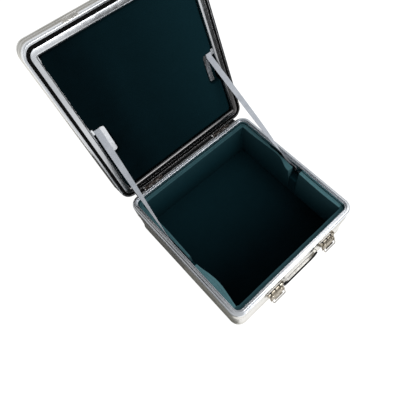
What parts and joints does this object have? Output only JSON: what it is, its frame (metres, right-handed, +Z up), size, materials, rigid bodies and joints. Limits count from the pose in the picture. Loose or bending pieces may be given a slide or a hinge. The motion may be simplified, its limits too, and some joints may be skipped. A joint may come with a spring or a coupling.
{
  "type": "battery transport case",
  "caption": "Square drawn aluminium transport case with a hinged lid held open by webbing stays, a padded cloth lining, draw latches and a drop handle.",
  "frame": {"origin": "centre of the base shell's flat underside, which the case stands on", "axes": "+Z up, -Y towards the front with the latches and the handle, +Y towards the hinges, +X to the right as seen from the front"},
  "size_m": [0.4778, 0.7385, 0.6278],
  "materials": {
    "drawn_aluminium": "satin drawn sheet",
    "bright_aluminium": "bright anodised extrusion",
    "nickel_plate": "nickel plated",
    "lining_cloth": "matt dark teal cloth over foam",
    "webbing": "woven grey webbing",
    "neoprene": "matt cellular strip",
    "black_enamel": "black enamelled sheet",
    "black_rubber": "moulded, satin"
  },
  "bodies": {
    "base": {"base_shell": "drawn_aluminium", "base_frame": "bright_aluminium", "base_lining_floor": "lining_cloth", "base_lining_rear": "lining_cloth", "base_lining_front_left": "lining_cloth", "base_lining_front_right": "lining_cloth", "base_lining_left_front": "lining_cloth", "base_lining_left_rear": "lining_cloth", "base_lining_right_front": "lining_cloth", "base_lining_right_rear": "lining_cloth", "handle_bracket_left": "nickel_plate", "handle_bracket_right": "nickel_plate", "handle_pin_left": "nickel_plate", "handle_pin_right": "nickel_plate", "hinge_leaf_base_left": "nickel_plate", "hinge_leaf_base_right": "nickel_plate", "hinge_pin_left": "nickel_plate", "hinge_pin_right": "nickel_plate", "latch_plate_left": "nickel_plate", "latch_plate_right": "nickel_plate", "latch_pin_left": "nickel_plate", "latch_pin_right": "nickel_plate", "stay_anchor_left": "black_enamel", "stay_anchor_right": "black_enamel", "stay_strap_left": "webbing", "stay_strap_right": "webbing"},
    "lid": {"lid_shell": "drawn_aluminium", "lid_frame": "bright_aluminium", "lid_gasket": "neoprene", "lid_lining_pad": "lining_cloth", "hinge_leaf_lid_left": "nickel_plate", "hinge_leaf_lid_right": "nickel_plate", "latch_keeper_left": "nickel_plate", "latch_keeper_right": "nickel_plate", "stay_clamp_left": "bright_aluminium", "stay_clamp_right": "bright_aluminium"},
    "lever_left": {"latch_lever_left": "nickel_plate"},
    "lever_right": {"latch_lever_right": "nickel_plate"},
    "bail_left": {"latch_bail_left": "nickel_plate"},
    "bail_right": {"latch_bail_right": "nickel_plate"},
    "handle": {"handle_bail": "nickel_plate", "handle_grip": "black_rubber"}
  },
  "joints": [
    {"name": "lid_hinge", "type": "hinge", "parent": "base", "child": "lid", "pos_m": [0, 0.242, 0.17], "axis": [1, 0, 0], "range_deg": [0, 110], "deforming": ["stay_strap_left", "stay_strap_right"]},
    {"name": "lever_left_pivot", "type": "hinge", "parent": "base", "child": "lever_left", "pos_m": [-0.106, -0.2461, 0.157], "axis": [1, 0, 0], "range_deg": [-75, 28]},
    {"name": "lever_right_pivot", "type": "hinge", "parent": "base", "child": "lever_right", "pos_m": [0.106, -0.2461, 0.157], "axis": [1, 0, 0], "range_deg": [-75, 28]},
    {"name": "bail_left_pivot", "type": "hinge", "parent": "lever_left", "child": "bail_left", "pos_m": [-0.106, -0.2541, 0.15354], "axis": [-1, 0, 0], "range_deg": [0, 150]},
    {"name": "bail_right_pivot", "type": "hinge", "parent": "lever_right", "child": "bail_right", "pos_m": [0.106, -0.2541, 0.15354], "axis": [-1, 0, 0], "range_deg": [0, 150]},
    {"name": "handle_swing", "type": "hinge", "parent": "base", "child": "handle", "pos_m": [0, -0.2454, 0.14], "axis": [-1, 0, 0], "range_deg": [0, 90]}
  ]
}
